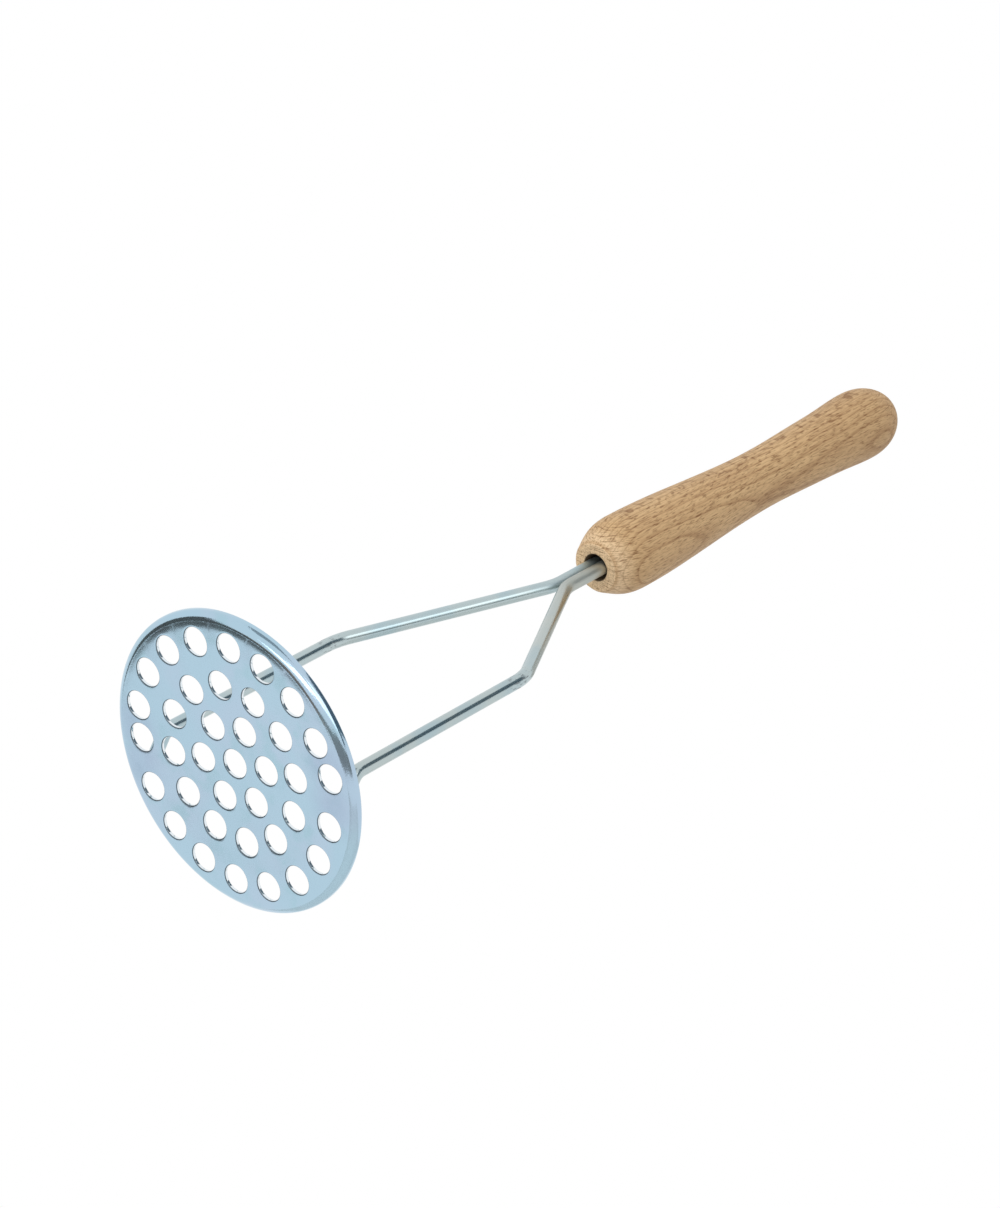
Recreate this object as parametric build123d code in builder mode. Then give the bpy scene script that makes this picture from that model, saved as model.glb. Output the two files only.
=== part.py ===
"""Potato masher: a dished, perforated steel plate on two bent wire legs, held in a turned beech handle.

Millimetres. The masher stands on its plate: the origin is the centre of the plane that the plate's flat land
rests on, +Z runs up the handle, and +X runs from the left leg to the right one. The feet point along +Y.
"""

from build123d import *
from math import cos, radians, sin, tan
import os

os.makedirs("parts", exist_ok=True)

# Plate: one disc of sheet steel
plate_diameter = 89.4
sheet = 1.0
rim_bend = 2.8  # outside radius of the bend between land and rim
rim_straight = 0.4  # from the end of the bend to the cut edge
rim_edge_round = 0.25  # dulled burr on the cut edge
land_width = 7.9  # flat ring between the dish and the bend
dish_rise = 1.1  # the middle of the dish domes up towards the handle by this much

# Punched holes: one in the middle and three rings round it, each with a hole on the line of the legs
hole_diameter = 8.5
hole_margin = 1.65  # land left between the outer ring's holes and the bend
ring_shares = (0.335, 0.65, 1.0)  # radii of the rings, as shares of the outer one
ring_counts = (6, 12, 18)
# The outer ring's two holes on the line of the legs stand off their places, to leave land for the feet
shift_across = 1.2
shift_back = 2.45

# Legs: two mirrored lengths of round wire
wire_diameter = 4.1
leg_outset = 0.5  # of the leg's centre line beyond the circle of the outer holes
knee_height = 81.5
knee_radius = 16.0
splay_height = 59.5  # from the knee's corner to the neck's
neck_radius = 12.0
neck_show = 16.5  # straight stretch between the neck's corner and the handle
tang_gap = 0.1  # between the two wires where they lie side by side
tang_chamfer = 0.5

# Feet: each leg turns down to the plate at a slant and is welded to its back by the toe
crank_radius = 5.0
foot_length = 10.2  # straight stretch from the crank to the sheared end
toe_angle = 45.0  # between that stretch and the plate
foot_end_round = 0.3
weld_sink = 1.2  # how far the weld flattens the underside of the wire's end

# Handle: turned beech with a blind bore
handle_length = 150.0
face_radius = 7.9  # of the flat front end
face_round = 0.4
nose_radius = 11.65  # part of the way round the nose
nose_place = 9.0
nose_slope_share = 0.45  # how fast the nose closes in at the face, as a share of the length passed
swell_radius = 12.2
body_radius = 10.75
waist_radius = 9.35
flare_radius = 10.05
butt_radius = 10.7
knob_radius = 11.5
cap_radius = 9.1
# Where along the handle those seven radii are, from the front end
grip_shares = (0.107, 0.327, 0.56, 0.7, 0.797, 0.89, 0.9585)

# Bore for the pair of tangs
tang_play = 0.05
bore_depth = 48.0
bore_point = 2.4  # cone left by the drill
bore_chamfer = 0.35
tang_end_play = 1.0  # between the ends of the tangs and the full depth of the bore

overrun = 5.0  # how far a cutter passes clear of what it cuts

# Worked out from the sizes above
plate_radius = plate_diameter / 2
bend_start = plate_radius - rim_bend
dish_radius = bend_start - land_width
rim_height = rim_bend + rim_straight
hole_radius = hole_diameter / 2
outer_ring = bend_start - hole_margin - hole_radius
wire_radius = wire_diameter / 2
leg_offset = outer_ring + leg_outset
tang_offset = (wire_diameter + tang_gap) / 2
crank_run = foot_length + crank_radius * tan(radians(90 - toe_angle) / 2)  # to the corner that it rounds
foot_reach = crank_run * cos(radians(toe_angle))
foot_height = sheet + wire_radius - weld_sink
heel_height = foot_height + crank_run * sin(radians(toe_angle))
neck_height = knee_height + splay_height
mouth_height = neck_height + neck_show
tang_top = mouth_height + bore_depth - tang_end_play
bore_radius = tang_offset + wire_radius + tang_play

# Mashing plate: half the section of the pressed disc, turned about the axis
with BuildPart() as mashing_plate:
    with BuildSketch(Plane.XZ):
        with BuildLine():
            front_dish = TangentArc((0, dish_rise), (dish_radius, 0), tangent=(1, 0))
            front_land = Line(front_dish @ 1, (bend_start, 0))
            outer_bend = TangentArc(front_land @ 1, (plate_radius, rim_bend), tangent=(1, 0))
            outer_rim = Line(outer_bend @ 1, (plate_radius, rim_height))
            cut_edge = Line(outer_rim @ 1, (plate_radius - sheet, rim_height))
            inner_rim = Line(cut_edge @ 1, (plate_radius - sheet, rim_bend))
            inner_bend = TangentArc(inner_rim @ 1, (bend_start, sheet), tangent=(0, -1))
            back_land = Line(inner_bend @ 1, (dish_radius, sheet))
            TangentArc((0, dish_rise + sheet), back_land @ 1, tangent=(1, 0))
            Line((0, dish_rise + sheet), front_dish @ 0)
        make_face()
    revolve(axis=Axis.Z)
    fillet(mashing_plate.faces().sort_by(Axis.Z)[-1].edges(), radius=rim_edge_round)

    hole_places = [(0, 0)]
    for ring_share, count in zip(ring_shares, ring_counts):
        for i in range(count):
            angle = radians(360 * i / count)
            x = ring_share * outer_ring * cos(angle)
            y = ring_share * outer_ring * sin(angle)
            makes_room = count == ring_counts[-1] and i in (0, count // 2)
            hole_places.append((x + shift_across, y - shift_back) if makes_room else (x, y))
    with BuildSketch(Plane.XY.offset(-overrun)):
        with Locations(*hole_places):
            Circle(hole_radius)
    extrude(amount=overrun + dish_rise + sheet + overrun, mode=Mode.SUBTRACT)
mashing_plate.part.label = "mashing_plate"
export_step(mashing_plate.part, "parts/mashing_plate.step")

# Leg wires: foot, crank, upright, knee, splay, neck and tang, swept in one run
for side, leg_name in ((-1, "leg_wire_left"), (1, "leg_wire_right")):
    with BuildPart() as leg_wire:
        with BuildLine() as run:
            FilletPolyline(
                (side * leg_offset, foot_reach, foot_height),
                (side * leg_offset, 0, heel_height),
                (side * leg_offset, 0, knee_height),
                (side * tang_offset, 0, neck_height),
                (side * tang_offset, 0, tang_top),
                radius=(crank_radius, knee_radius, neck_radius),
            )
        with BuildSketch(Plane(origin=run.wire() @ 0, z_dir=run.wire() % 0)):
            Circle(wire_radius)
        sweep(path=run.wire())
        chamfer(leg_wire.faces().sort_by(Axis.Z)[-1].edges(), length=tang_chamfer)
        fillet(leg_wire.faces().sort_by(Axis.Y)[-1].edges(), radius=foot_end_round)

        # The weld leaves the foot flat underneath, where it lies on the back of the plate
        with BuildSketch(Plane.XY.offset(sheet)):
            with Locations((side * leg_offset, 0)):
                Rectangle(wire_diameter + overrun, 2 * (foot_reach + overrun))
        extrude(amount=-overrun, mode=Mode.SUBTRACT)
    leg_wire.part.label = leg_name
    export_step(leg_wire.part, f"parts/{leg_name}.step")

# Handle: half the turned profile with the bore in it, turned about the axis
swell_place, body_place, waist_place, flare_place, butt_place, knob_place, cap_place = (
    share * handle_length for share in grip_shares
)
with BuildPart() as handle:
    with BuildSketch(Plane.XZ.shift_origin((0, 0, mouth_height))):
        with BuildLine():
            Line((bore_radius, 0), (bore_radius, bore_depth))
            Line((bore_radius, bore_depth), (0, bore_depth + bore_point))
            Line((0, bore_depth + bore_point), (0, handle_length))
            Spline(
                (0, handle_length),
                (cap_radius, cap_place),
                (knob_radius, knob_place),
                tangents=((1, 0), (0, -1)),
            )
            Spline(
                (knob_radius, knob_place),
                (butt_radius, butt_place),
                (flare_radius, flare_place),
                (waist_radius, waist_place),
                (body_radius, body_place),
                (swell_radius, swell_place),
                tangents=((0, -1), (0, -1)),
            )
            Spline(
                (swell_radius, swell_place),
                (nose_radius, nose_place),
                (face_radius, 0),
                tangents=((0, -1), (-nose_slope_share, -1)),
            )
            Line((face_radius, 0), (bore_radius, 0))
        make_face()
    revolve(axis=Axis.Z)
    mouth_edges = handle.faces().sort_by(Axis.Z)[0].edges().sort_by(SortBy.RADIUS)
    chamfer(mouth_edges[0], length=bore_chamfer)
    fillet(mouth_edges[-1], radius=face_round)
handle.part.label = "handle"
export_step(handle.part, "parts/handle.step")
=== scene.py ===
"""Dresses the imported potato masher: zinc-plated plate and wires, resistance welds and a turned beech handle.

Metres, in the frame of the CAD model: the origin is the middle of the face that mashes, +Z runs up the
handle, +X from the left leg to the right one, and the welded feet point along +Y. Every piece is a surface
worked out on a grid, and each function's docstring gives its formula in words.
"""

import bmesh
import bpy
import numpy as np
from bpy.props import FloatProperty, FloatVectorProperty, PointerProperty
from mathutils import Matrix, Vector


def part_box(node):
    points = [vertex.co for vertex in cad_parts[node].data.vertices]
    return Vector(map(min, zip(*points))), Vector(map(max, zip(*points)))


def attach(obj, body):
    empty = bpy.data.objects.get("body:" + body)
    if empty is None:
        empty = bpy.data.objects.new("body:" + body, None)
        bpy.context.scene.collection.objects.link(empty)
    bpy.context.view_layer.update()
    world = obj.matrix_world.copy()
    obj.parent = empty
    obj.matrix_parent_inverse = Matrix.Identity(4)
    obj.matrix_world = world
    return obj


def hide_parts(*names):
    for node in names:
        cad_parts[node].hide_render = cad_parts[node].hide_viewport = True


bl_info = {
    "name": "Potato masher",
    "version": (1, 0, 0),
    "blender": (4, 5, 0),
    "location": "View3D > Sidebar > Masher",
    "description": "Builds the visible pieces of a wire potato masher round its CAD model",
    "category": "Add Mesh",
}

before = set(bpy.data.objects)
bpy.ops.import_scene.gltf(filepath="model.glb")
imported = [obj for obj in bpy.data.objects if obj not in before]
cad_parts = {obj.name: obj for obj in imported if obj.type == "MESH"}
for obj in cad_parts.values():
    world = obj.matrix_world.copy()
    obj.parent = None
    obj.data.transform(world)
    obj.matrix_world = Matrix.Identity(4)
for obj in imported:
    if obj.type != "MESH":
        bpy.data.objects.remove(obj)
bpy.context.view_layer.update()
plate_low, plate_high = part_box("mashing_plate")
_, wire_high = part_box("leg_wire_right")
handle_low, handle_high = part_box("handle")

MM = 0.001
MERGED = 0.002 * MM  # points nearer to each other than this become one
GRID_STEP = 1.25  # degrees between the plate's points, which the corners of all its sectors are multiples of
WIRE_STEPS = 48  # round a wire
HANDLE_STEPS = 160  # round the handle
# The holes of each ring round the middle one, and its radius as a share of the outer ring's
HOLE_RINGS = ((6, 0.335), (12, 0.65), (18, 1.0))
# How far along the handle its swell, body, waist, flare, butt, knob and cap are, as shares of its length
GRIP_SHARES = (0.107, 0.327, 0.56, 0.7, 0.797, 0.89, 0.9585)
MIDDLE = np.array([0, 0, 60]) * MM  # what the lamps and cards stand round


def linear(hex_colour):
    """The linear colour of an sRGB hex value: each channel is raised by the sRGB curve."""
    channels = np.array([int(hex_colour[i : i + 2], 16) for i in (1, 3, 5)]) / 255
    curved = np.where(channels <= 0.04045, channels / 12.92, ((channels + 0.055) / 1.055) ** 2.4)
    return tuple(float(c) for c in curved)


def length(name, description, default):
    """A size in metres that the panel shows."""
    return FloatProperty(name=name, description=description, default=default, min=0.0, unit="LENGTH",
                         subtype="DISTANCE", precision=5)


def colour(name, description, hex_colour):
    """A colour that the panel shows."""
    return FloatVectorProperty(name=name, description=description, default=linear(hex_colour), size=3,
                               min=0.0, max=1.0, subtype="COLOR")


def strength(name, description, default):
    """A brightness or strength that the panel shows."""
    return FloatProperty(name=name, description=description, default=default, min=0.0)


class PlateSettings(bpy.types.PropertyGroup):
    """Sizes and colours of the mashing plate."""

    radius: length("Radius", "Outside radius of the rim",
                   min(plate_high.x, plate_high.y, -plate_low.x, -plate_low.y))
    rim_height: length("Rim height", "From the flat land up to the cut edge", plate_high.z)
    sheet: length("Sheet", "Thickness of the steel", 1.0 * MM)
    bend: length("Bend", "Outside radius of the bend between land and rim", 2.8 * MM)
    edge_round: length("Edge round", "Rounding of the cut edge", 0.25 * MM)
    draw_in: length("Draw-in", "How far inside the bend the land starts to rise", 2.4 * MM)
    draw_rise: length("Draw rise", "How far it has risen where the bend starts", 0.1 * MM)
    ease_turn: FloatProperty(name="Ease turn", description="Degrees into the bend where it eases off",
                             default=40.0)
    tight_bend: length("Tight bend", "Outside radius of the bend's second half", 1.8 * MM)
    dish_radius: length("Dish radius", "Where the domed middle meets the land", 34.0 * MM)
    dish_rise: length("Dish rise", "How far the middle domes towards the handle", 1.1 * MM)
    hole_radius: length("Hole radius", "Radius of every punched hole", 4.25 * MM)
    entry_lip: length("Entry lip", "Rounding where the punch went in", 0.28 * MM)
    exit_lip: length("Exit lip", "Rounding where the punch came out", 0.14 * MM)
    outer_ring: length("Outer ring", "Radius of the outer ring of holes", 36.0 * MM)
    shift_across: length("Shift across", "Shift along X of the two holes beside the feet", 1.2 * MM)
    shift_back: length("Shift back", "Shift away from the feet of the same two holes", 2.45 * MM)
    zinc: colour("Zinc", "Main colour of the plating", "#AFCCDD")
    bloom: colour("Bloom", "Lavender cast that drifts over it", "#B4CADD")
    shade: colour("Shade", "Greener cast that drifts over it", "#A7C9D7")
    # Painted reflection: hole walls paler, as if they mirrored a bright backdrop
    sheared: colour("Sheared", "Bright walls of the punched holes", "#E6EEF3")
    # Painted reflection: dark lips on the holes, as if they mirrored dark surroundings
    painted_lip_reflection: colour("Hole edge", "Dark line that gathers on the edges of the holes", "#46525A")
    heat: colour("Heat tint", "Cast that the welds leave", "#A3B2CC")


class WireSettings(bpy.types.PropertyGroup):
    """Sizes and colours of the two leg wires and their welds."""

    radius: length("Radius", "Radius of the wire", 2.05 * MM)
    leg_offset: length("Leg offset", "From the axis to an upright's centre line", wire_high.x - 2.05 * MM)
    crank_radius: length("Crank radius", "Bend between foot and upright", 5.0 * MM)
    foot_length: length("Foot length", "Straight stretch at the foot's end", 10.2 * MM)
    toe_angle: FloatProperty(name="Toe angle", description="Between that stretch and the plate",
                             default=np.radians(45).item(), subtype="ANGLE")
    weld_sink: length("Weld sink", "How far the weld flattens the foot's underside", 1.2 * MM)
    knee_height: length("Knee height", "Height of the knee's corner", 81.5 * MM)
    knee_radius: length("Knee radius", "Bend of the knee", 16.0 * MM)
    neck_height: length("Neck height", "Height of the neck's corner", 141.0 * MM)
    neck_radius: length("Neck radius", "Bend of the neck", 12.0 * MM)
    tang_offset: length("Tang offset", "From the axis to a tang's centre line", 2.1 * MM)
    tang_top: length("Tang top", "Height of the tang's end", wire_high.z)
    end_round: length("End round", "Broken edge of the wire's two ends", 0.3 * MM)
    bead: length("Weld bead", "Half the thickness of the bead round a toe", 0.26 * MM)
    zinc: colour("Zinc", "Main colour of the plating", "#B8C6C8")
    bloom: colour("Bloom", "Bluer cast along the drawing lines", "#AAC0C8")
    film: colour("Warm film", "Yellower film that the right wire took towards its neck", "#B3B3A9")
    scuff: colour("Scuff", "Steel that shows where the bender rubbed", "#7C8286")
    weld_steel: colour("Weld steel", "Steel squeezed out of the weld", "#8F939C")
    straw: colour("Straw", "Straw colour that the weld's heat left on it", "#A08D78")


class HandleSettings(bpy.types.PropertyGroup):
    """Sizes and colours of the turned handle."""

    mouth: length("Mouth", "Height of the flat front end", handle_low.z)
    top: length("Top", "Height of the butt's end", handle_high.z)
    face_radius: length("Face radius", "Radius of the flat front end", 7.9 * MM)
    face_round: length("Face round", "Rounding of that face's edge", 0.4 * MM)
    nose_slope: FloatProperty(name="Nose slope", description="How steeply the nose closes in at that face",
                              default=0.45)
    nose_radius: length("Nose radius", "Radius part of the way round the nose", 11.65 * MM)
    nose_place: length("Nose place", "Where the nose has that radius, from the front end", 9 * MM)
    swell_radius: length("Swell radius", "Thickest place of the front half", 12.2 * MM)
    body_radius: length("Body radius", "Between the swell and the waist", 10.75 * MM)
    waist_radius: length("Waist radius", "Thinnest place", 9.35 * MM)
    flare_radius: length("Flare radius", "Between the waist and the butt", 10.05 * MM)
    butt_radius: length("Butt radius", "Before the knob", 10.7 * MM)
    knob_radius: length("Knob radius", "Thickest place of the rear half", 11.5 * MM)
    cap_radius: length("Cap radius", "Part of the way round the butt's end", 9.1 * MM)
    bore_radius: length("Bore radius", "Radius of the blind bore", 4.2 * MM)
    bore_depth: length("Bore depth", "Depth of the bore's wall", 48.0 * MM)
    bore_point: length("Bore point", "Depth of the drill's cone", 2.4 * MM)
    bore_chamfer: length("Bore chamfer", "Broken edge of the bore's mouth", 0.35 * MM)
    sanding: length("Sanding", "Height of the slow waves that hand-sanding left", 0.02 * MM)
    ring_spacing: length("Ring spacing", "From one growth ring to the next", 1.8 * MM)
    pith_distance: length("Pith distance", "From the handle's axis to the middle of the tree", 52.0 * MM)
    pith_bearing: FloatProperty(name="Pith bearing", description="Degrees from +X to the middle of the tree",
                                default=195.0)
    early: colour("Early wood", "Paler wood that grew first each year", "#DDB988")
    late: colour("Late wood", "Darker line at the end of each year", "#C59E70")
    ray: colour("Rays", "Short dark dashes along the grain", "#835A32")
    # Paler end grain, partly painted light that falls on the face and nose
    end_grain_and_painted_light: colour("End grain", "Wood cut across the grain", "#F4D4A9")
    # Painted shade deep inside the bore
    painted_bore_shade: colour("Burnished bore", "Wood that the drill rubbed dark", "#3A2A1C")


class StageSettings(bpy.types.PropertyGroup):
    """Camera, lights and surroundings."""

    focal: FloatProperty(name="Focal length", description="For a film 36 mm high", default=119.2, min=1.0)
    key: strength("Key", "Brightness of the softbox by the camera", 0.9)
    top: strength("Top", "Brightness of the overhead softbox", 1.05)
    strip: strength("Strip", "Brightness of the strip at the left", 1.6)
    window: strength("Window", "Brightness of the window at the left", 1.4)
    fill: strength("Fill", "Strength of the white room", 0.6)
    floor: colour("Floor", "The pale floor", "#F6F6F4")
    card: colour("Card", "The dark card at the left, which the metal mirrors", "#6B6864")
    brown_card: colour("Brown card", "The table's edge at the left", "#A89586")
    grey_card: colour("Grey card", "The grey cards below the camera", "#B0B0AC")
    blue_card: colour("Blue card", "The bluish card at the right", "#6A7C88")
    warm_card: colour("Warm card", "The warm card behind the object", "#F0EBE4")
    ceiling: colour("Ceiling", "The grey of the ceiling over the photographer", "#C4C8CC")
    table: colour("Table", "The table under the object, which only the metal sees", "#ECECEA")
    table_glow: strength("Table glow", "Light that the table gives of its own", 0.3)


def mesh_piece(name, grids, material, nodes=()):
    """One closed mesh out of several grids of points, each given as (points, uv).

    Neighbouring points of a grid make a quad, edges that meet are merged, and the faces are turned outwards.
    """
    corners, uvs, faces, start = [], [], [], 0
    for points, uv in grids:
        rows, columns = points.shape[:2]
        index = start + np.arange(rows * columns).reshape(rows, columns)
        quads = np.stack([index[:-1, :-1], index[1:, :-1], index[1:, 1:], index[:-1, 1:]], -1)
        faces.append(quads.reshape(-1, 4))
        corners.append(points.reshape(-1, 3))
        uvs.append(uv.reshape(-1, 2))
        start += rows * columns
    faces = np.concatenate(faces)
    mesh = bpy.data.meshes.new(name)
    mesh.from_pydata(np.concatenate(corners).tolist(), [], faces.tolist())
    layer = mesh.uv_layers.new(name="UVMap")
    layer.data.foreach_set("uv", np.concatenate(uvs)[faces.ravel()].astype(np.float32).ravel())
    shape = bmesh.new()
    shape.from_mesh(mesh)
    bmesh.ops.remove_doubles(shape, verts=shape.verts, dist=MERGED)
    bmesh.ops.recalc_face_normals(shape, faces=shape.faces)
    for face in shape.faces:
        face.smooth = True
    shape.to_mesh(mesh)
    shape.free()
    mesh.materials.append(material)
    piece = bpy.data.objects.new(name, mesh)
    bpy.context.scene.collection.objects.link(piece)
    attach(piece, "root")
    if nodes:
        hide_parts(*nodes)
    return piece


def arc(centre, radius, start, end, steps):
    """Points of an arc in a plane, from one angle in degrees to another."""
    angle = np.radians(np.linspace(start, end, steps + 1))
    return np.stack([centre[0] + radius * np.cos(angle), centre[1] + radius * np.sin(angle)], -1)


def turned(profile, count, wobble=None):
    """A profile of (radius, height) carried round the Z axis: x = r cos a, y = r sin a, z = height."""
    angle = np.linspace(0, 2 * np.pi, count + 1)
    r = profile[:, :1] * np.ones_like(angle)
    if wobble is not None:
        r = r + wobble(angle, profile)
    points = np.stack([r * np.cos(angle), r * np.sin(angle), profile[:, 1:] * np.ones_like(angle)], -1)
    points[:, -1] = points[:, 0]
    run = np.concatenate([[0], np.cumsum(np.linalg.norm(np.diff(profile, axis=0), axis=1))])
    uv = np.stack(np.meshgrid(angle / (2 * np.pi), run), -1)
    return points, uv


def dished(x, y, s):
    """How far the plate's front stands off the plane of its land over (x, y).

    The middle is a wide sphere's cap, rise - R + sqrt(R R - r r), run softly into the land by
    (cap + sqrt(cap cap + e e)) / 2. Outside, the sheet was drawn in a little before it bends: it rises with
    the square of the way from the start of that draw-in.
    """
    r = np.sqrt(x**2 + y**2)
    sphere = (s.dish_radius**2 + s.dish_rise**2) / (2 * s.dish_rise)
    cap = s.dish_rise - sphere + np.sqrt(sphere**2 - r**2)
    softness = 0.06 * MM
    middle = (cap + np.sqrt(cap**2 + softness**2)) / 2
    draw = np.clip((r - (s.radius - s.bend - s.draw_in)) / s.draw_in, 0, 1)
    return middle + s.draw_rise * draw**2


def sector_edge(inner, outer, first, last):
    """The closed edge of a sector: out along a side, round the outer arc, in along the other and back."""
    side_steps = 8
    turns = round((last - first) / GRID_STEP)
    radii = np.linspace(inner, outer, side_steps + 1)
    angles = np.linspace(first, last, turns + 1)
    r = np.concatenate([radii, np.full(turns, outer), radii[::-1][1:], np.full(turns, inner)])
    a = np.radians(np.concatenate([np.full(side_steps + 1, first), angles[1:], np.full(side_steps, last),
                                   angles[::-1][1:]]))
    return np.stack([r * np.cos(a), r * np.sin(a)], -1)


def punched_sector(edge, centre, s):
    """The sheet of one sector round its punched hole, as one grid from its front edge to its back edge.

    Each point of the sector's edge has a partner on the hole at the same bearing. Straight lines join the two
    on the front and the back, and between them the profile rounds the entry lip, falls down the wall and
    rounds the exit lip. With t the turn of a lip, the UV is (sin 2t, sin^4 t): the first number marks the
    lips, the second what the punch sheared between them, and both are 0 on the flat.
    """
    bearing = np.arctan2(edge[:, 1] - centre[1], edge[:, 0] - centre[0])
    out = np.stack([np.cos(bearing), np.sin(bearing)], -1)
    share = np.linspace(1, 0, 6)[:-1, None, None]
    sheet_rows = []
    for lip in (s.entry_lip, s.exit_lip):
        rim = centre + (s.hole_radius + lip) * out
        sheet_rows.append(rim + share * (edge - rim))
    front, back = sheet_rows[0], sheet_rows[1][::-1]
    entry = np.radians(np.linspace(0, 90, 6))
    leave = np.radians(np.linspace(90, 0, 4))
    reach = np.concatenate([s.entry_lip * (1 - np.sin(entry)), s.exit_lip * (1 - np.sin(leave))])
    drop = np.concatenate([s.entry_lip * (1 - np.cos(entry)), s.sheet - s.exit_lip * (1 - np.cos(leave))])
    wall = centre + (s.hole_radius + reach)[:, None, None] * out
    flat = np.concatenate([front, wall, back])
    depth = np.concatenate([np.zeros(len(front)), drop, np.full(len(back), s.sheet)])
    z = dished(flat[..., 0], flat[..., 1], s) + depth[:, None]
    points = np.concatenate([flat, z[..., None]], -1)
    uv = np.zeros(flat.shape)
    turn = np.concatenate([entry, leave])[:, None]
    uv[len(front) : len(front) + len(wall)] = np.stack([np.sin(2 * turn), np.sin(turn) ** 4], -1)
    return points, uv


def plate_grids(s):
    """The whole plate: 37 sectors, each with its hole, and the rim turned round them."""
    bend_start = s.radius - s.bend
    # The sectors of one ring end halfway to the next
    ring_radii = s.outer_ring * np.array([0, *(share for _, share in HOLE_RINGS)])
    circles = [*(ring_radii[:-1] + ring_radii[1:]) / 2, bend_start]
    whole_turn = np.radians(np.arange(0, 360 + GRID_STEP / 2, GRID_STEP))
    middle = circles[0] * np.stack([np.cos(whole_turn), np.sin(whole_turn)], -1)
    grids = [punched_sector(middle, np.zeros(2), s)]
    for ring, (count, share) in enumerate(HOLE_RINGS):
        step = 360 / count
        for i in range(count):
            first, last = (i - 0.5) * step, (i + 0.5) * step
            bearing = np.radians(i * step)
            centre = share * s.outer_ring * np.array([np.cos(bearing), np.sin(bearing)])
            if ring == len(HOLE_RINGS) - 1:
                # Two holes opposite each other stand off their places, both towards a side that their sector
                # shares with a neighbour, and that side moves along
                opposite, side_shift = count // 2, 2 * GRID_STEP
                if i in (0, opposite):
                    centre = centre + np.array([s.shift_across, -s.shift_back])
                first += {0: -side_shift, opposite + 1: side_shift}.get(i, 0)
                last += {count - 1: -side_shift, opposite: side_shift}.get(i, 0)
            edge = sector_edge(circles[ring], circles[ring + 1], first, last)
            grids.append(punched_sector(edge, centre, s))
    top = s.rim_height - s.edge_round
    inner = s.radius - s.sheet
    # The bend runs straight for a moment where the die eases off, then closes tighter on the rim's wall: with
    # turn t and b - c between the two radii, the tight centre stands (b - c)(1 - sin t) / cos t lower
    turn = np.radians(s.ease_turn)
    lower = (s.bend - s.tight_bend) * (1 - np.sin(turn)) / np.cos(turn)
    rim = np.concatenate([
        arc((bend_start, s.bend), s.bend, -90, s.ease_turn - 90, 20),
        arc((s.radius - s.tight_bend, s.bend - lower), s.tight_bend, s.ease_turn - 90, 0, 22),
        arc((s.radius - s.edge_round, top), s.edge_round, 0, 90, 5),
        arc((inner + s.edge_round, top), s.edge_round, 90, 180, 5),
        arc((bend_start, s.bend), s.bend - s.sheet, 0, -90, 12),
    ])
    points, uv = turned(rim, round(360 / GRID_STEP))
    lift = dished(points[..., 0], points[..., 1], s)
    # The lift fades out up the rim, so that the cut edge stays at its height
    points[..., 2] += lift * np.clip(1 - points[..., 2] / s.bend, 0, 1)
    grids.append((points, np.zeros_like(uv)))
    return grids


def rounded_route(corners, radii, step):
    """The points of a bent wire's centre line.

    Straight runs join arcs that touch both runs at each corner: an arc of radius R that turns by t starts
    R tan(t / 2) before the corner. An arc has a point for every 3 degrees.
    """
    corners = np.asarray(corners, float)
    lines, start = [], corners[0]
    for before, corner, after, radius in zip(corners[:-2], corners[1:-1], corners[2:], radii):
        inward = (before - corner) / np.linalg.norm(before - corner)
        onward = (after - corner) / np.linalg.norm(after - corner)
        turn = np.pi - np.arccos(np.clip(inward @ onward, -1, 1))
        reach = radius * np.tan(turn / 2)
        a = corner + reach * inward
        bisector = (inward + onward) / np.linalg.norm(inward + onward)
        centre = corner + bisector * radius / np.cos(turn / 2)
        straight_steps = max(3, int(np.linalg.norm(a - start) / step))
        lines.append(np.linspace(start, a, straight_steps)[:-1])
        arc_steps = max(8, int(np.degrees(turn) / 3))
        t = np.linspace(0, turn, arc_steps + 1)[:-1, None]
        lines.append(centre + np.cos(t) * (a - centre) - radius * np.sin(t) * inward)
        start = corner + reach * onward
    straight_steps = int(np.linalg.norm(corners[-1] - start) / step) + 2
    lines.append(np.linspace(start, corners[-1], straight_steps))
    return np.concatenate(lines)


def foot_places(s, sheet):
    """A foot as (y, z) of its centre line's end at the plate and of its corner below the upright."""
    run = s.foot_length + s.crank_radius * np.tan((np.pi / 2 - s.toe_angle) / 2)
    end = sheet + s.radius - s.weld_sink
    return (run * np.cos(s.toe_angle), end), (0, end + run * np.sin(s.toe_angle))


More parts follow.
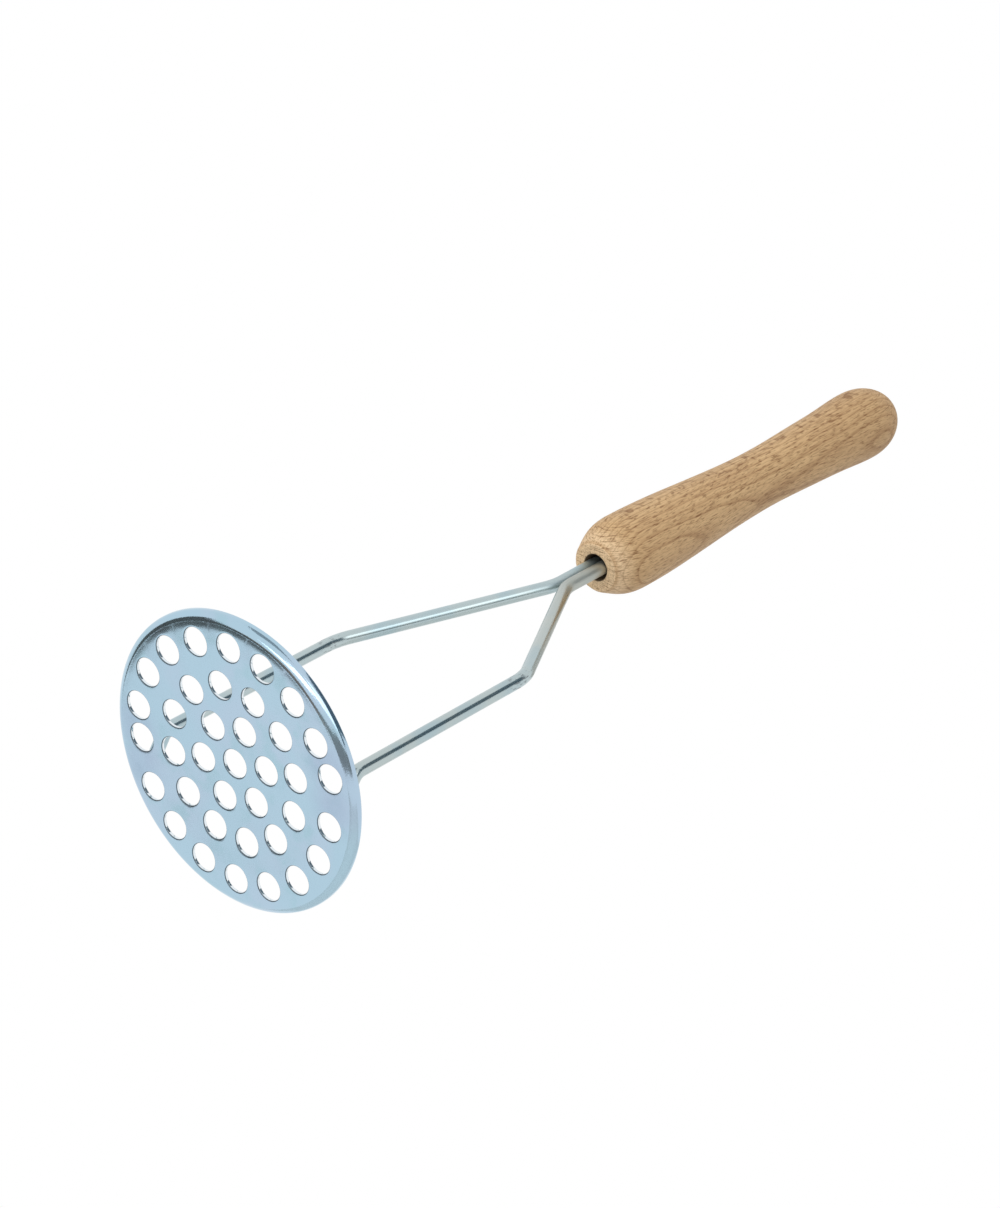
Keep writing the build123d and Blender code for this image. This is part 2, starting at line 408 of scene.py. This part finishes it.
def leg_grid(s, sheet, side):
    """One leg: a circle carried along its route, closed by small round ends and pressed flat at the toe.

    Below the middle of the upright the section keeps the X axis and above it the Y axis, so it never twists.
    """
    toe, heel = foot_places(s, sheet)
    corners = [
        (side * s.leg_offset, *toe),
        (side * s.leg_offset, *heel),
        (side * s.leg_offset, 0, s.knee_height),
        (side * s.tang_offset, 0, s.neck_height),
        (side * s.tang_offset, 0, s.tang_top),
    ]
    route = rounded_route(corners, (s.crank_radius, s.knee_radius, s.neck_radius), 2 * MM)
    tangent = np.gradient(route, axis=0)
    tangent /= np.linalg.norm(tangent, axis=1, keepdims=True)
    u_axis = np.where(route[:, 2:] < s.knee_height / 2, [1, 0, 0], np.cross([0, 1, 0], tangent))
    v_axis = np.cross(tangent, u_axis)
    # At each end, rings that carry the circle in from the middle and round the broken edge
    quarter = np.radians(np.linspace(90, 0, 5))
    inwards = s.end_round * (1 - np.sin(quarter))[:, None] * tangent[0]
    upwards = s.end_round * (1 - np.sin(quarter))[::-1, None] * tangent[-1]
    centres = np.concatenate([route[:1], route[0] + inwards, route[1:-1], route[-1] - upwards, route[-1:]])
    size = s.radius - s.end_round * (1 - np.cos(quarter))
    size = np.concatenate([[0], size, np.full(len(route) - 2, s.radius), size[::-1], [0]])
    source = np.clip(np.arange(len(centres)) - len(quarter), 0, len(route) - 1)
    angle = np.linspace(0, 2 * np.pi, WIRE_STEPS + 1)[None, :, None]
    points = centres[:, None] + size[:, None, None] * (
        np.cos(angle) * u_axis[source, None] + np.sin(angle) * v_axis[source, None]
    )
    points[:, -1] = points[:, 0]
    points[..., 2] = np.maximum(points[..., 2], sheet)
    run = np.concatenate([[0], np.cumsum(np.linalg.norm(np.diff(centres, axis=0), axis=1))])
    uv = np.stack(np.meshgrid(angle.ravel() * s.radius, run), -1)
    return points, uv


def flash_grid(s, sheet, side):
    """The thin bead squeezed out round a toe: a small circle of uneven size carried round the weld's edge.

    That edge is where the slanted wire meets the sheet. With c the distance in the sheared end from its
    middle down to the sheet, it is x = r cos t, y = toe - (r sin t - c) / sin(slant), closed by a line across
    the toe.
    """
    toe, _ = foot_places(s, sheet)
    down = (s.radius - s.weld_sink) / np.cos(s.toe_angle)
    toe_line = toe[0] - down * np.sin(s.toe_angle)
    start = np.arcsin(down / s.radius)
    t = np.linspace(start, np.pi - start, 49)
    x = s.radius * np.cos(t)
    y = toe_line - (s.radius * np.sin(t) - down) / np.sin(s.toe_angle)
    across = np.linspace(-1, 1, 33)[1:]
    line = np.concatenate([np.stack([x, y], -1), np.stack([across * x[0], toe_line + 0 * across], -1)])
    out = line - line.mean(0)
    out /= np.linalg.norm(out, axis=1, keepdims=True)
    bearing = np.arctan2(out[:, 1], out[:, 0])[:, None]
    size = s.bead * (1 + 0.3 * np.sin(3 * bearing + side) + 0.2 * np.sin(7 * bearing))
    a = np.linspace(0, 2 * np.pi, 13)
    lift, flatness = 0.05 * MM, 0.8
    points = np.stack([
        side * s.leg_offset + line[:, :1] + size * np.cos(a) * out[:, :1],
        line[:, 1:] + size * np.cos(a) * out[:, 1:],
        sheet + lift + size * flatness * np.sin(a),
    ], -1)
    points[-1] = points[0]
    points[:, -1] = points[:, 0]
    uv = np.stack(np.meshgrid(a, bearing.ravel()), -1) * MM
    return points, uv


def spline(points, first, last, steps):
    """The cubic curve through the points whose bending never jumps, with the tangents at its two ends given.

    Its parameter is the length of the chords h. The slopes m at the points solve, at each inner point,
    h2 m0 + 2 (h1 + h2) m1 + h1 m2 = 3 (h2 / h1 (p1 - p0) + h1 / h2 (p2 - p1)).
    """
    p = np.asarray(points, float)
    h = np.linalg.norm(np.diff(p, axis=0), axis=1)
    before, after = h[:-1, None], h[1:, None]
    left = np.eye(len(p))
    inner = np.arange(1, len(p) - 1)
    left[inner, inner - 1] = h[1:]
    left[inner, inner] = 2 * (h[:-1] + h[1:])
    left[inner, inner + 1] = h[:-1]
    right = 3 * (after / before * (p[1:-1] - p[:-2]) + before / after * (p[2:] - p[1:-1]))
    slope = np.linalg.solve(left, np.concatenate([[first], right, [last]]))
    t = np.linspace(0, 1, steps + 1)[:-1, None, None]
    rows = ((2 * t**3 - 3 * t**2 + 1) * p[:-1] + (t**3 - 2 * t**2 + t) * h[:, None] * slope[:-1]
            + (3 * t**2 - 2 * t**3) * p[1:] + (t**3 - t**2) * h[:, None] * slope[1:])
    return np.concatenate([rows.transpose(1, 0, 2).reshape(-1, 2), p[-1:]])


def handle_grids(s):
    """The handle: rounded butt, body, nose, flat face and bore as one profile turned about the axis."""
    whole = s.top - s.mouth
    swell, body, waist, flare, butt, knob, cap = whole * np.array(GRIP_SHARES)
    down = (0, -1)
    end = spline([(0, whole), (s.cap_radius, cap), (s.knob_radius, knob)], (1, 0), down, 22)
    grip = spline([(s.knob_radius, knob), (s.butt_radius, butt), (s.flare_radius, flare),
                   (s.waist_radius, waist), (s.body_radius, body), (s.swell_radius, swell)], down, down, 16)
    closing = np.array([-s.nose_slope, -1]) / np.hypot(s.nose_slope, 1)
    nose = [(s.swell_radius, swell), (s.nose_radius, s.nose_place), (s.face_radius, 0)]
    nose = spline(nose, down, closing, 16)
    # Round the edge between nose and face: drop what lies below the round's tangent point, put an arc there
    lean = np.degrees(np.arctan2(-closing[1], -closing[0]))
    reach = s.face_round * np.tan(np.radians(180 - lean) / 2)
    centre = (s.face_radius - reach, s.face_round)
    nose = nose[nose[:, 1] > s.face_round * (1 + np.cos(np.radians(lean)))]
    edge = arc(centre, s.face_round, lean - 90, -90, 6)
    inner = s.bore_radius + s.bore_chamfer
    face = np.linspace((centre[0], 0), (inner, 0), 7)[1:]
    wall = np.linspace((s.bore_radius, s.bore_chamfer), (s.bore_radius, s.bore_depth), 20)
    bottom = [(0, s.bore_depth + s.bore_point)]
    profile = np.concatenate([end[:-1], grip[:-1], nose, edge, face, wall, bottom])
    profile[:, 1] += s.mouth

    def wobble(angle, line):
        """Hand-sanding leaves the turned wood a little out of round, in slow waves along and round it.

        They are sums of sines of the angle and of the height, only inwards, and fade out towards the flat
        face and the bore.
        """
        z = (line[:, 1:] - s.mouth) / whole
        start, fade = 8.2 * MM, 1.5 * MM
        outside = np.clip((line[:, :1] - start) / fade, 0, 1)
        waves = np.sin(2 * angle + 9 * z) + 0.6 * np.sin(3 * angle - 17 * z + 1)
        waves += 0.4 * np.sin(41 * z + angle)
        return s.sanding * outside * (waves - 2)

    return [turned(profile, HANDLE_STEPS, wobble)]


def connect(tree, node, inputs):
    """Fills a node's inputs, each with a value, a socket, or a node's first output."""
    for key, value in inputs.items():
        if isinstance(value, bpy.types.Node):
            value = value.outputs[0]
        if isinstance(value, bpy.types.NodeSocket):
            tree.links.new(value, node.inputs[key])
        else:
            node.inputs[key].default_value = value


def add(tree, kind, inputs=None, **settings):
    """A new node of that kind."""
    made = tree.nodes.new(kind)
    for name, value in settings.items():
        setattr(made, name, value)
    connect(tree, made, inputs or {})
    return made


def maths(tree, operation, *values, **settings):
    """A node that works on one to three numbers."""
    return add(tree, "ShaderNodeMath", dict(enumerate(values)), operation=operation, **settings)


def vector_maths(tree, operation, *values):
    """A node that works on one or two vectors."""
    return add(tree, "ShaderNodeVectorMath", dict(enumerate(values)), operation=operation)


def ramp(tree, value, start, end, low, high, curve="SMOOTHSTEP"):
    """A number that goes from low to high while the value goes from start to end."""
    return add(tree, "ShaderNodeMapRange", {"Value": value, 1: start, 2: end, 3: low, 4: high},
               interpolation_type=curve)


def per_mm(size):
    """The scale of a texture on metres whose features are that many millimetres wide."""
    return 1 / (size * MM)


def noise(tree, place, scale, detail, roughness=0.5):
    """Cloudy noise, mostly near 0.5."""
    return add(tree, "ShaderNodeTexNoise",
               {"Vector": place, "Scale": scale, "Detail": detail, "Roughness": roughness})


def scaled(tree, place, scale, turn=0.0):
    """Coordinates scaled axis by axis and turned, so that a pattern on them is drawn out or squeezed."""
    return add(tree, "ShaderNodeMapping", {"Vector": place, "Scale": scale, "Rotation": (0, 0, turn)})


def blend(tree, share, under, over):
    """One colour laid over another by that share."""
    return add(tree, "ShaderNodeMix", {0: share, 6: under, 7: over}, data_type="RGBA").outputs[2]


def from_axis(tree, place):
    """The distance from the Z axis."""
    return vector_maths(tree, "LENGTH", vector_maths(tree, "MULTIPLY", place, (1, 1, 0))).outputs["Value"]


def from_spot(tree, place, spot):
    """The distance from the nearer of a spot and its mirror images, for marks that both legs have."""
    return vector_maths(tree, "DISTANCE", vector_maths(tree, "ABSOLUTE", place), spot).outputs["Value"]


def rgba(values):
    """A colour with the fourth number that shader sockets want."""
    return (*values, 1.0)


def new_material(name):
    """A material with only its shader and output, and its node tree."""
    material = bpy.data.materials.new(name)
    material.use_nodes = True
    tree = material.node_tree
    return material, tree, tree.nodes["Principled BSDF"]


def zinc_plate(s, feet):
    """Bright zinc plate on pressed sheet steel.

    Barrel-plated zinc keeps the sheet's soft mirror, breaks it up with a fine pebble, and takes a thin blue
    to lavender film. The stretched bend has a deeper pebble, and each weld leaves a violet halo, feet being
    how far they stand from the axis.
    """
    material, tree, shader = new_material("zinc_plated_sheet_steel")
    coords = add(tree, "ShaderNodeTexCoord")
    place = coords.outputs["Object"]
    cloud = noise(tree, place, per_mm(26), 3)
    drift = noise(tree, place, per_mm(11), 4, 0.6)
    lavender = ramp(tree, cloud, 0.42, 0.62, 0, 0.85)
    green = ramp(tree, drift, 0.5, 0.68, 0, 0.7)
    tone = blend(tree, lavender, rgba(s.zinc), rgba(s.bloom))
    tone = blend(tree, green, tone, rgba(s.shade))
    halo = ramp(tree, from_spot(tree, place, (feet, 6 * MM, 0)), 2 * MM, 11 * MM, 0.8, 0)
    tone = blend(tree, maths(tree, "MULTIPLY", halo, drift), tone, rgba(s.heat))
    # The punch left the hole walls smoother than the sheet; painted reflection makes them paler, both lips
    # dark
    lip, sheared = add(tree, "ShaderNodeSeparateXYZ", {0: coords.outputs["UV"]}).outputs[:2]
    # Painted reflection: the walls paler, as if they mirrored a bright backdrop
    tone = blend(tree, sheared, tone, rgba(s.sheared))
    # Painted reflection: a dark line on the lips of the holes
    tone = blend(tree, lip, tone, rgba(s.painted_lip_reflection))
    # The stretched bend, by its distance from the axis
    bend = ramp(tree, from_axis(tree, place), s.radius - 4.1 * MM, s.radius - 2.3 * MM, 0, 1)
    rough = ramp(tree, drift, 0.3, 0.7, 0.11, 0.17, "LINEAR")
    rough = maths(tree, "MULTIPLY_ADD", bend, -0.02, rough)
    rough = maths(tree, "MULTIPLY_ADD", sheared, -0.05, rough)
    pebble = noise(tree, place, per_mm(0.45), 2)
    # Fine handling scratches, drawn wider than real so that they show
    lines = noise(tree, scaled(tree, place, (1, 0.03, 1), 0.5), per_mm(0.5), 1)
    scratch = maths(tree, "MULTIPLY", ramp(tree, lines, 0.68, 0.74, 0, 1, "LINEAR"), 0.35)
    depth = maths(tree, "MULTIPLY_ADD", bend, 1.2, 0.5)
    height = maths(tree, "MULTIPLY_ADD", pebble, depth, scratch)
    height = maths(tree, "MULTIPLY", height, maths(tree, "SUBTRACT", 1, sheared))
    bump = add(tree, "ShaderNodeBump", {"Height": height, "Strength": 0.5, "Distance": 0.014 * MM})
    connect(tree, shader, {"Base Color": tone, "Metallic": 1, "Roughness": rough, "Normal": bump})
    return material


def zinc_wire(s):
    """Bright zinc plate on drawn steel wire.

    Drawing leaves hair lines along the wire, which the plating softens, and the bender's tools rub the
    outside of each knee down to darker steel. The right wire took a duller, yellower film in the bath.
    """
    material, tree, shader = new_material("zinc_plated_drawn_wire")
    coords = add(tree, "ShaderNodeTexCoord")
    place, along = coords.outputs["Object"], coords.outputs["UV"]
    x, _, z = add(tree, "ShaderNodeSeparateXYZ", {0: place}).outputs
    cast = ramp(tree, noise(tree, place, per_mm(14), 3), 0.4, 0.65, 0, 1)
    tone = blend(tree, cast, rgba(s.zinc), rgba(s.bloom))
    film = ramp(tree, z, s.knee_height, s.neck_height, 0.15, 0.75, "LINEAR")
    film = maths(tree, "MULTIPLY", film, maths(tree, "GREATER_THAN", x, 0))
    tone = blend(tree, film, tone, rgba(s.film))
    # Rub marks on the outside of each knee, in short flecks
    knee = (s.leg_offset + 1.5 * MM, 0, s.knee_height - 3.5 * MM)
    near = ramp(tree, from_spot(tree, place, knee), 2 * MM, 8 * MM, 1, 0)
    flecks = noise(tree, scaled(tree, along, (1, 0.3, 1)), per_mm(0.7), 2)
    rubbed = maths(tree, "MULTIPLY", near, ramp(tree, flecks, 0.55, 0.63, 0, 0.8, "LINEAR"))
    tone = blend(tree, rubbed, tone, rgba(s.scuff))
    hair = noise(tree, scaled(tree, along, (1, 0.02, 1)), per_mm(0.7), 3)
    rough = ramp(tree, hair, 0.3, 0.7, 0.14, 0.24, "LINEAR")
    rough = maths(tree, "MULTIPLY_ADD", rubbed, 0.25, rough)
    # The press that drives the tangs home grips them there, which leaves them satin
    gripped = ramp(tree, z, s.neck_height - 13 * MM, s.neck_height + 5 * MM, 0, 0.26)
    rough = maths(tree, "ADD", rough, gripped)
    bump = add(tree, "ShaderNodeBump", {"Height": hair, "Strength": 0.5, "Distance": 0.015 * MM})
    connect(tree, shader, {"Base Color": tone, "Metallic": 1, "Roughness": rough, "Normal": bump})
    return material


def weld_flash(s):
    """Steel squeezed from a resistance weld: darker than the plating, dull, with blue and straw colours."""
    material, tree, shader = new_material("squeezed_weld_steel")
    grain = noise(tree, add(tree, "ShaderNodeTexCoord").outputs["Object"], per_mm(0.8), 3)
    heat = ramp(tree, grain, 0.35, 0.65, 0, 1, "LINEAR")
    tone = blend(tree, heat, rgba(s.weld_steel), rgba(s.straw))
    bump = add(tree, "ShaderNodeBump", {"Height": grain, "Strength": 0.8, "Distance": 0.05 * MM})
    connect(tree, shader, {"Base Color": tone, "Metallic": 1, "Roughness": 0.45, "Normal": bump})
    return material


def turned_beech(s):
    """Bare beech, turned and sanded.

    The pattern is a block of wood that the handle is cut from: growth rings about a pith beside the handle,
    and rays, thin plates that stand out from the pith. A cut along the rings shows the rays as short dark
    dashes, a cut across them as wider flecks, and the ends as dots and lines.
    """
    material, tree, shader = new_material("turned_beech")
    place = add(tree, "ShaderNodeTexCoord").outputs["Object"]
    bearing = np.radians(s.pith_bearing)
    pith = (s.pith_distance * np.cos(bearing), s.pith_distance * np.sin(bearing), 0)
    from_pith = vector_maths(tree, "SUBTRACT", place, pith)
    x, y, z = add(tree, "ShaderNodeSeparateXYZ", {0: from_pith}).outputs
    # The trunk leans and swells slowly, so a turned surface cuts its rings in long loops
    slow = noise(tree, scaled(tree, place, (1, 1, 0.5)), per_mm(22), 2)
    out = maths(tree, "MULTIPLY_ADD", slow, 3.5 * MM, from_axis(tree, from_pith))
    across = maths(tree, "MULTIPLY", maths(tree, "ARCTAN2", y, x), s.pith_distance)
    # The block's own directions: out from the pith, across, and along the grain
    wood = add(tree, "ShaderNodeCombineXYZ", {0: out, 1: across, 2: z})
    year = maths(tree, "FRACT", maths(tree, "DIVIDE", out, s.ring_spacing))
    late_end = ramp(tree, year, 0.95, 1, 1, 0, "LINEAR")
    late = maths(tree, "MULTIPLY", ramp(tree, year, 0.55, 0.95, 0, 1), late_end)
    tone = blend(tree, late, rgba(s.early), rgba(s.late))
    # Colour that drifts in streaks along the grain
    band = noise(tree, scaled(tree, wood, (1, 1, 0.08)), per_mm(2.6), 4, 0.6)
    tone = blend(tree, ramp(tree, band, 0.35, 0.7, 0, 0.7, "LINEAR"), tone, rgba(s.late))
    # Wood cut across the grain is paler: the face, and less and less where the nose closes in
    # The pale tone is partly painted light, for the light that falls on the face and nose
    end_grain_light_share = ramp(tree, z, s.mouth + 0.3 * MM, s.mouth + 8 * MM, 0.95, 0)
    tone = blend(tree, end_grain_light_share, tone, rgba(s.end_grain_and_painted_light))
    # A dark ring just past the face's edge is painted shade, where the nose falls away; the face isn't
    # darkened
    edge = ramp(tree, z, s.mouth + 0.3 * MM, s.mouth + 1.6 * MM, 0.65, 0)
    edge = maths(tree, "MULTIPLY", edge, maths(tree, "GREATER_THAN", z, s.mouth + 0.2 * MM))
    tone = blend(tree, edge, tone, rgba(s.late))
    # Painted shade: the butt end is darker, as if the light fell off along the handle
    painted_butt_shade = ramp(tree, z, s.mouth + 100 * MM, s.mouth + 135 * MM, 0, 0.13, "LINEAR")
    tone = blend(tree, painted_butt_shade, tone, rgba(s.ray))
    # Rays: plates 5 mm deep, 0.26 wide and 2.4 high, a little coarser than real ones so that they show
    rays = noise(tree, scaled(tree, wood, (per_mm(5), per_mm(0.26), per_mm(2.4))), 1, 1)
    dash = ramp(tree, rays, 0.52, 0.68, 0, 0.7)
    # Pores, fine dark hairs along the grain, crowded in some stretches and sparse in others
    pores = noise(tree, scaled(tree, wood, (per_mm(0.5), per_mm(0.3), per_mm(5))), 1, 3, 0.6)
    hair = maths(tree, "MULTIPLY", ramp(tree, pores, 0.45, 0.7, 0, 1, "LINEAR"), slow)
    # Each year ends in a thin line
    line = maths(tree, "MULTIPLY", ramp(tree, year, 0.8, 0.95, 0, 0.22), late_end)
    dark = maths(tree, "ADD", maths(tree, "MULTIPLY_ADD", dash, 0.75, hair), line, use_clamp=True)
    tone = blend(tree, dark, tone, rgba(s.ray))
    # Painted shade: the bore is darkened for the shade deep inside it
    bore_shade_share = ramp(tree, from_axis(tree, place), s.bore_radius + 0.1 * MM, s.bore_radius + 0.3 * MM, 0.85, 0,
                 "LINEAR")
    bottom = s.mouth + s.bore_depth + s.bore_point
    bore_shade_share = maths(tree, "MULTIPLY", bore_shade_share, maths(tree, "LESS_THAN", z, bottom + MM))
    tone = blend(tree, bore_shade_share, tone, rgba(s.painted_bore_shade))
    rough = maths(tree, "MULTIPLY_ADD", dark, 0.1, 0.56)
    # Rays, pores and year lines lie a little deep, where sanding took out the softer wood
    relief = maths(tree, "MULTIPLY", dark, -1)
    bump = add(tree, "ShaderNodeBump", {"Height": relief, "Strength": 0.5, "Distance": 0.09 * MM})
    connect(tree, shader, {"Base Color": tone, "Roughness": rough, "Normal": bump})
    return material


def matte(name, values, glow=0.0):
    """Matte paper or cloth of one colour, for what stands round the object. Some of it also glows."""
    material, tree, shader = new_material(name)
    connect(tree, shader, {"Base Color": rgba(values), "Roughness": 0.9,
                           "Emission Color": rgba(values), "Emission Strength": glow})
    return material


def facing(place, right, up, back):
    """A matrix whose columns are the three directions and the place."""
    matrix = np.eye(4)
    matrix[:3] = np.stack([right, up, back, place], -1)
    return Matrix(matrix.tolist())


def turned_to(place, target, up_hint):
    """A matrix at place whose -Z looks at the target and whose Y leans to the hint."""
    back = (place - target) / np.linalg.norm(place - target)
    right = np.cross(up_hint, back)
    right /= np.linalg.norm(right)
    return facing(place, right, np.cross(back, right), back)


def towards(view, azimuth, elevation):
    """A direction in degrees, seen from the camera: azimuth 0 is back at it, and 90 is to its right.

    The rows of view are the camera's right, up and back, and the direction is
    sin a cos e of the first, sin e of the second and cos a cos e of the third.
    """
    a, e = np.radians(azimuth), np.radians(elevation)
    return np.array([np.sin(a) * np.cos(e), np.sin(e), np.cos(a) * np.cos(e)]) @ view


class MASHER_OT_plate(bpy.types.Operator):
    """Press, punch and plate the mashing plate"""

    bl_idname = "masher.plate"
    bl_label = "Mashing plate"

    def execute(self, context):
        s = context.scene.masher_plate
        material = zinc_plate(s, context.scene.masher_wire.leg_offset)
        mesh_piece("punched_plate", plate_grids(s), material, ["mashing_plate"])
        return {"FINISHED"}


class MASHER_OT_legs(bpy.types.Operator):
    """Bend the two leg wires and weld their feet to the plate"""

    bl_idname = "masher.legs"
    bl_label = "Leg wires and welds"

    def execute(self, context):
        s, sheet = context.scene.masher_wire, context.scene.masher_plate.sheet
        wire, weld = zinc_wire(s), weld_flash(s)
        for side, word in ((-1, "left"), (1, "right")):
            leg, bead = leg_grid(s, sheet, side), flash_grid(s, sheet, side)
            mesh_piece(f"bent_leg_{word}", [leg], wire, [f"leg_wire_{word}"])
            mesh_piece(f"weld_bead_{word}", [bead], weld)
        return {"FINISHED"}


class MASHER_OT_handle(bpy.types.Operator):
    """Turn the beech handle and bore it for the wires"""

    bl_idname = "masher.handle"
    bl_label = "Beech handle"

    def execute(self, context):
        s = context.scene.masher_handle
        mesh_piece("turned_handle", handle_grids(s), turned_beech(s), ["handle"])
        return {"FINISHED"}


class MASHER_OT_stage(bpy.types.Operator):
    """Set up the camera, the lights, the floor and the cards that the metal mirrors"""

    bl_idname = "masher.stage"
    bl_label = "Stage"

    def execute(self, context):
        scene, s = context.scene, context.scene.masher_stage
        view = self.camera(scene, s)
        self.lamps(scene, s, view)
        # The floor lies well below, so that the camera can look up past the masher as the photographer did
        half, drop = 6.0, 1.9
        sides = ((-half, -half), (half, -half), (half, half), (-half, half))
        floor = self.panel("floor", [(x, y, -drop) for x, y in sides], matte("pale_floor_paper", s.floor))
        floor.visible_glossy = False
        self.cards(s, view)
        self.white_room(scene, s)
        return {"FINISHED"}

    def camera(self, scene, s):
        """The camera, which looks at the mashing face from below the masher as it stands."""
        eye = np.array([750.8, -410.6, -679.5]) * MM
        aim = np.array([-1.9, -3.5, 116.2]) * MM
        up_hint = np.array([-0.134, -0.928, 0.348])
        data = bpy.data.cameras.new("camera")
        data.sensor_width = 36.0
        data.lens = s.focal
        data.clip_start, data.clip_end = 0.05, 50.0
        made = bpy.data.objects.new("camera", data)
        made.matrix_world = turned_to(eye, aim, up_hint)
        scene.collection.objects.link(made)
        scene.camera = made
        scene.view_settings.view_transform = "Standard"
        return np.array(made.matrix_world)[:3, :3].T

    def lamps(self, scene, s, view):
        """The softboxes, each by its direction, width, height and brightness."""
        distance = 1.5
        for name, azimuth, elevation, width, height, brightness in (
            ("key_softbox", 20, 17, 1.0, 0.75, s.key),
            ("overhead_softbox", 0, 72, 1.6, 1.2, s.top),
            ("side_strip", -27, 6, 1.55, 0.32, s.strip),
            ("window_left", -62, -8, 1.1, 1.1, s.window),
        ):
            data = bpy.data.lights.new(name, "AREA")
            data.shape = "RECTANGLE"
            data.size, data.size_y = width, height
            # A lamp of this many watts per square metre and pi has that brightness
            data.energy = brightness * np.pi * width * height
            made = bpy.data.objects.new(name, data)
            place = MIDDLE + distance * towards(view, azimuth, elevation)
            made.matrix_world = turned_to(place, MIDDLE, view[1])
            # These two only light, and the metal mirrors the room where they are
            made.visible_glossy = name not in ("overhead_softbox", "window_left")
            scene.collection.objects.link(made)

    def cards(self, s, view):
        """Cards that only the metal's mirrors show, each by the directions of its four corners."""
        distance = 1.6
        for name, corners, tone, glow in (
            ("card_left", ((-112, -16), (-81, -28.5), (-81, 12), (-112, -3)), s.card, 0),
            ("card_table_edge", ((-81, -29.5), (-58, -27), (-58, -11), (-81, -12)), s.brown_card, 0),
            ("card_low_left", ((-58, -33), (-5, -34), (-5, -15), (-58, -20)), s.grey_card, 0),
            ("card_low_right", ((-5, -34), (50, -20), (50, -6), (-5, -15)), s.grey_card, 0),
            ("card_right", ((60, 15), (100, 11), (100, 52), (60, 46)), s.blue_card, 0),
            ("card_right_low", ((46, -4), (68, 6), (68, 16), (46, 50)), s.blue_card, 0),
            ("card_ceiling", ((-48, 33), (2, 44), (12, 72), (-62, 72)), s.ceiling, 0),
            ("card_behind", ((130, -8), (160, -8), (160, 26), (130, 32)), s.warm_card, 0),
            ("card_below", ((-45, -42), (45, -42), (135, -26), (-135, -42)), s.table, s.table_glow),
        ):
            rays = np.array([towards(view, *corner) for corner in corners])
            centre = rays.mean(0) / np.linalg.norm(rays.mean(0))
            places = MIDDLE + distance * rays / (rays @ centre)[:, None]
            made = self.panel(name, places, matte(name + "_cloth", tone, glow))
            made.visible_camera = made.visible_diffuse = made.visible_shadow = False

    def panel(self, name, corners, material):
        """A flat sheet with four corners that stands round the object and isn't part of it."""
        mesh = bpy.data.meshes.new(name)
        mesh.from_pydata(np.asarray(corners).tolist(), [], [(0, 1, 2, 3)])
        mesh.materials.append(material)
        made = bpy.data.objects.new(name, mesh)
        bpy.context.scene.collection.objects.link(made)
        return made

    def white_room(self, scene, s):
        """A world that is full white where the camera or a mirror looks at it, and softer where it lights."""
        world = bpy.data.worlds.new("white_room")
        world.use_nodes = True
        scene.world = world
        tree = world.node_tree
        tree.nodes.clear()
        path = add(tree, "ShaderNodeLightPath").outputs
        seen = maths(tree, "MAXIMUM", path["Is Camera Ray"], path["Is Glossy Ray"])
        seen = maths(tree, "MAXIMUM", seen, path["Is Transmission Ray"])
        lighting = add(tree, "ShaderNodeBackground", {"Color": (1, 1, 1, 1), "Strength": s.fill})
        backdrop = add(tree, "ShaderNodeBackground", {"Color": (1, 1, 1, 1), "Strength": 1})
        both = add(tree, "ShaderNodeMixShader", {0: seen, 1: lighting, 2: backdrop})
        add(tree, "ShaderNodeOutputWorld", {0: both})


class MASHER_PT_panel(bpy.types.Panel):
    """Lists the pieces and their settings"""

    bl_label = "Potato masher"
    bl_space_type = "VIEW_3D"
    bl_region_type = "UI"
    bl_category = "Masher"

    def draw(self, context):
        for group, operator in (("masher_plate", "masher.plate"), ("masher_wire", "masher.legs"),
                                ("masher_handle", "masher.handle"), ("masher_stage", "masher.stage")):
            box = self.layout.box()
            settings = getattr(context.scene, group)
            for name in settings.__annotations__:
                box.prop(settings, name)
            box.operator(operator)


CLASSES = (PlateSettings, WireSettings, HandleSettings, StageSettings, MASHER_OT_plate, MASHER_OT_legs,
           MASHER_OT_handle, MASHER_OT_stage, MASHER_PT_panel)
GROUPS = {"masher_plate": PlateSettings, "masher_wire": WireSettings, "masher_handle": HandleSettings,
          "masher_stage": StageSettings}


def register():
    for made in CLASSES:
        bpy.utils.register_class(made)
    for name, group in GROUPS.items():
        setattr(bpy.types.Scene, name, PointerProperty(type=group))


def unregister():
    for name in GROUPS:
        delattr(bpy.types.Scene, name)
    for made in reversed(CLASSES):
        bpy.utils.unregister_class(made)


def main():
    register()
    bpy.ops.masher.plate()
    bpy.ops.masher.legs()
    bpy.ops.masher.handle()
    bpy.ops.masher.stage()
    bpy.context.view_layer.update()


if __name__ == "__main__":
    main()
